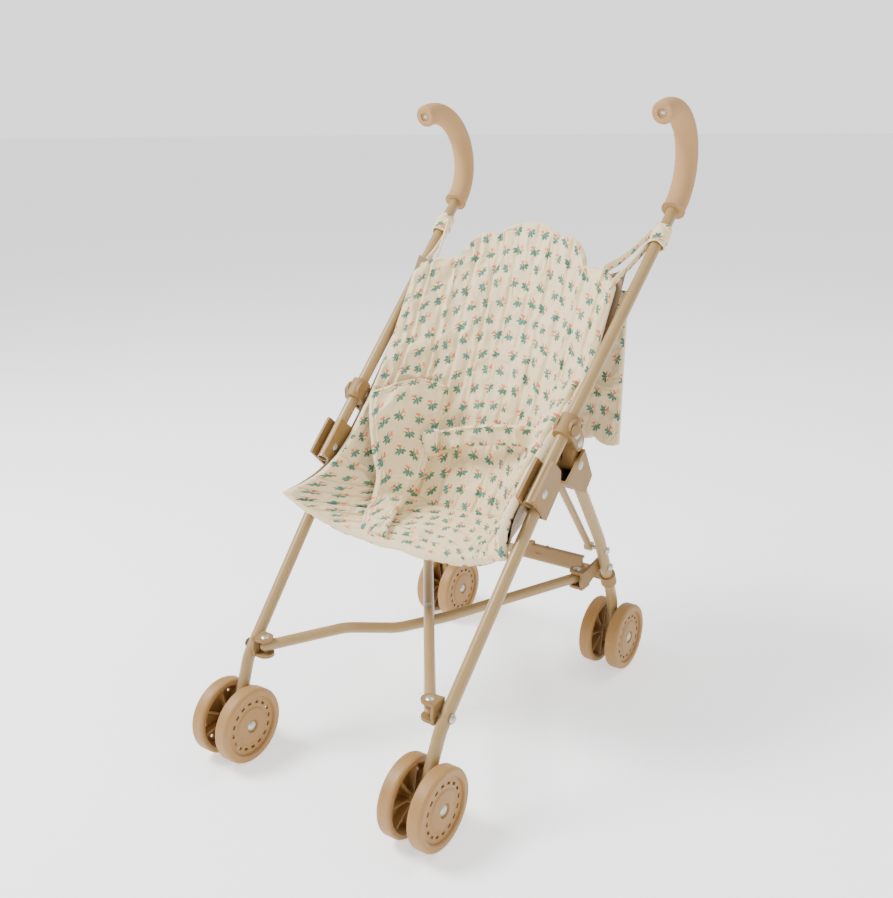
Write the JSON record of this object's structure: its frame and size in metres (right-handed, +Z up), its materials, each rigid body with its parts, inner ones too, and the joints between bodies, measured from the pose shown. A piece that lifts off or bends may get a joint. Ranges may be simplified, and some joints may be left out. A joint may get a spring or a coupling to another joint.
{
  "type": "doll stroller",
  "caption": "Folding umbrella-style doll stroller with cane handles, twin wheels, a cross brace and a quilted fabric sling seat.",
  "frame": {"origin": "on the floor, at the middle of the box around the stroller", "axes": "+Z up, -Y the way it rolls forward, +X the left side of the stroller"},
  "size_m": [0.2772, 0.447, 0.5601],
  "materials": {
    "painted_tube": "satin beige paint",
    "foam_grip": "fine matt foam",
    "wheel_plastic": "moulded satin",
    "bracket_plastic": "moulded satin",
    "rivet_steel": "zinc plated",
    "quilted_fabric": "quilted cotton with small printed sprigs",
    "sling_fabric": "plain woven"
  },
  "bodies": {
    "frame_left": {"handle_tube_left": "painted_tube", "handle_grip_left": "foam_grip", "collar_left": "bracket_plastic", "front_leg_left": "painted_tube", "leg_joint_left": "bracket_plastic", "frame_fasteners_left": "rivet_steel", "front_axle_left": "rivet_steel", "tie_cuff_left": "quilted_fabric", "side_wing_left": "quilted_fabric", "harness_panel_left": "quilted_fabric", "seat_back_pad": "quilted_fabric", "seat_base_pad": "quilted_fabric", "seat_sling": "sling_fabric", "back_flap": "quilted_fabric", "waist_belt": "quilted_fabric"},
    "rear_leg_unit_left": {"rear_leg_left": "painted_tube", "rear_bracket_left": "bracket_plastic", "rear_knuckle_left": "bracket_plastic", "rear_stay_left": "painted_tube", "rear_fasteners_left": "rivet_steel", "lock_bracket_left": "bracket_plastic", "rear_axle_left": "rivet_steel"},
    "front_yoke_unit_left": {"front_yoke_left": "bracket_plastic"},
    "rear_yoke_unit_left": {"rear_yoke_left": "bracket_plastic"},
    "wheel_front_outer_left_unit": {"wheel_front_outer_left": "wheel_plastic"},
    "wheel_front_inner_left_unit": {"wheel_front_inner_left": "wheel_plastic"},
    "wheel_rear_outer_left_unit": {"wheel_rear_outer_left": "wheel_plastic"},
    "wheel_rear_inner_left_unit": {"wheel_rear_inner_left": "wheel_plastic"},
    "frame_right": {"handle_tube_right": "painted_tube", "handle_grip_right": "foam_grip", "collar_right": "bracket_plastic", "front_leg_right": "painted_tube", "leg_joint_right": "bracket_plastic", "frame_fasteners_right": "rivet_steel", "front_axle_right": "rivet_steel", "tie_cuff_right": "quilted_fabric", "side_wing_right": "quilted_fabric", "harness_panel_right": "quilted_fabric"},
    "rear_leg_unit_right": {"rear_leg_right": "painted_tube", "rear_bracket_right": "bracket_plastic", "rear_knuckle_right": "bracket_plastic", "rear_stay_right": "painted_tube", "rear_fasteners_right": "rivet_steel", "lock_bracket_right": "bracket_plastic", "rear_axle_right": "rivet_steel"},
    "front_yoke_unit_right": {"front_yoke_right": "bracket_plastic"},
    "rear_yoke_unit_right": {"rear_yoke_right": "bracket_plastic"},
    "wheel_front_outer_right_unit": {"wheel_front_outer_right": "wheel_plastic"},
    "wheel_front_inner_right_unit": {"wheel_front_inner_right": "wheel_plastic"},
    "wheel_rear_outer_right_unit": {"wheel_rear_outer_right": "wheel_plastic"},
    "wheel_rear_inner_right_unit": {"wheel_rear_inner_right": "wheel_plastic"},
    "brace_upper_unit": {"brace_bar_upper": "painted_tube", "brace_rivets_upper": "rivet_steel"},
    "brace_lower_unit": {"brace_bar_lower": "painted_tube", "brace_rivets_lower": "rivet_steel"},
    "lock_left_unit": {"lock_arm_left": "painted_tube", "lock_cover": "bracket_plastic", "lock_middle_rivet": "rivet_steel"},
    "lock_right_unit": {"lock_arm_right": "painted_tube"}
  },
  "joints": [
    {"name": "fold", "type": "hinge", "parent": "front_yoke_unit_left", "child": "brace_upper_unit", "pos_m": [0.09, -0.16295, 0.098], "axis": [0, 0, -1], "range_deg": [0, 26.58], "deforming": ["seat_back_pad", "seat_base_pad", "seat_sling", "back_flap", "waist_belt"]},
    {"name": "front_yoke_left_pitch", "type": "hinge", "parent": "frame_left", "child": "front_yoke_unit_left", "pos_m": [0.096, -0.16295, 0.0952], "axis": [1, 0, 0], "range_deg": [0, 7.46]},
    {"name": "brace_scissor", "type": "hinge", "parent": "brace_upper_unit", "child": "brace_lower_unit", "pos_m": [0, -0.03895, 0.1065], "axis": [0, 0, 1], "range_deg": [0, 53.16]},
    {"name": "front_yoke_right_turn", "type": "hinge", "parent": "brace_lower_unit", "child": "front_yoke_unit_right", "pos_m": [-0.09, -0.16295, 0.098], "axis": [0, 0, -1], "range_deg": [0, 26.58]},
    {"name": "frame_right_pitch", "type": "hinge", "parent": "front_yoke_unit_right", "child": "frame_right", "pos_m": [-0.096, -0.16295, 0.0952], "axis": [-1, 0, 0], "range_deg": [0, 7.46]},
    {"name": "rear_yoke_left_turn", "type": "hinge", "parent": "brace_lower_unit", "child": "rear_yoke_unit_left", "pos_m": [0.09, 0.08505, 0.115], "axis": [0, 0, -1], "range_deg": [0, 26.58]},
    {"name": "rear_yoke_right_turn", "type": "hinge", "parent": "brace_upper_unit", "child": "rear_yoke_unit_right", "pos_m": [-0.09, 0.08505, 0.115], "axis": [0, 0, 1], "range_deg": [0, 26.58]},
    {"name": "rear_leg_left_swing", "type": "hinge", "parent": "frame_left", "child": "rear_leg_unit_left", "pos_m": [0.11434, 0.01805, 0.27615], "axis": [0.9987, 0, -0.0501], "range_deg": [0, 20.39]},
    {"name": "rear_leg_right_swing", "type": "hinge", "parent": "frame_right", "child": "rear_leg_unit_right", "pos_m": [-0.11434, 0.01805, 0.27615], "axis": [0.9987, 0, 0.0501], "range_deg": [0, 20.39]},
    {"name": "lock_arm_left_lift", "type": "hinge", "parent": "rear_leg_unit_left", "child": "lock_left_unit", "pos_m": [0.086, 0.13105, 0.104], "axis": [0, 1, 0], "range_deg": [0, 74.13]},
    {"name": "lock_arm_right_lift", "type": "hinge", "parent": "rear_leg_unit_right", "child": "lock_right_unit", "pos_m": [-0.086, 0.13105, 0.104], "axis": [0, -1, 0], "range_deg": [0, 74.13]},
    {"name": "wheel_front_outer_left_spin", "type": "hinge", "parent": "frame_left", "child": "wheel_front_outer_left_unit", "pos_m": [0.1032, -0.19195, 0.034], "axis": [1, 0, 0], "continuous": true},
    {"name": "wheel_front_inner_left_spin", "type": "hinge", "parent": "frame_left", "child": "wheel_front_inner_left_unit", "pos_m": [0.1032, -0.19195, 0.034], "axis": [1, 0, 0], "continuous": true},
    {"name": "wheel_rear_outer_left_spin", "type": "hinge", "parent": "rear_leg_unit_left", "child": "wheel_rear_outer_left_unit", "pos_m": [0.1032, 0.14205, 0.034], "axis": [1, 0, 0], "continuous": true},
    {"name": "wheel_rear_inner_left_spin", "type": "hinge", "parent": "rear_leg_unit_left", "child": "wheel_rear_inner_left_unit", "pos_m": [0.1032, 0.14205, 0.034], "axis": [1, 0, 0], "continuous": true},
    {"name": "wheel_front_outer_right_spin", "type": "hinge", "parent": "frame_right", "child": "wheel_front_outer_right_unit", "pos_m": [-0.1032, -0.19195, 0.034], "axis": [1, 0, 0], "continuous": true},
    {"name": "wheel_front_inner_right_spin", "type": "hinge", "parent": "frame_right", "child": "wheel_front_inner_right_unit", "pos_m": [-0.1032, -0.19195, 0.034], "axis": [1, 0, 0], "continuous": true},
    {"name": "wheel_rear_outer_right_spin", "type": "hinge", "parent": "rear_leg_unit_right", "child": "wheel_rear_outer_right_unit", "pos_m": [-0.1032, 0.14205, 0.034], "axis": [1, 0, 0], "continuous": true},
    {"name": "wheel_rear_inner_right_spin", "type": "hinge", "parent": "rear_leg_unit_right", "child": "wheel_rear_inner_right_unit", "pos_m": [-0.1032, 0.14205, 0.034], "axis": [1, 0, 0], "continuous": true}
  ],
  "couplings": [
    {"joint": "front_yoke_left_pitch", "follows": "fold", "ratio": 0.28076},
    {"joint": "brace_scissor", "follows": "fold", "ratio": 2},
    {"joint": "front_yoke_right_turn", "follows": "fold", "ratio": 1},
    {"joint": "frame_right_pitch", "follows": "fold", "ratio": 0.28076},
    {"joint": "rear_yoke_left_turn", "follows": "fold", "ratio": 1},
    {"joint": "rear_yoke_right_turn", "follows": "fold", "ratio": 1},
    {"joint": "rear_leg_left_swing", "follows": "fold", "ratio": 0.76704},
    {"joint": "rear_leg_right_swing", "follows": "fold", "ratio": 0.76704},
    {"joint": "lock_arm_left_lift", "follows": "fold", "ratio": 2.7889},
    {"joint": "lock_arm_right_lift", "follows": "fold", "ratio": 2.7889}
  ]
}
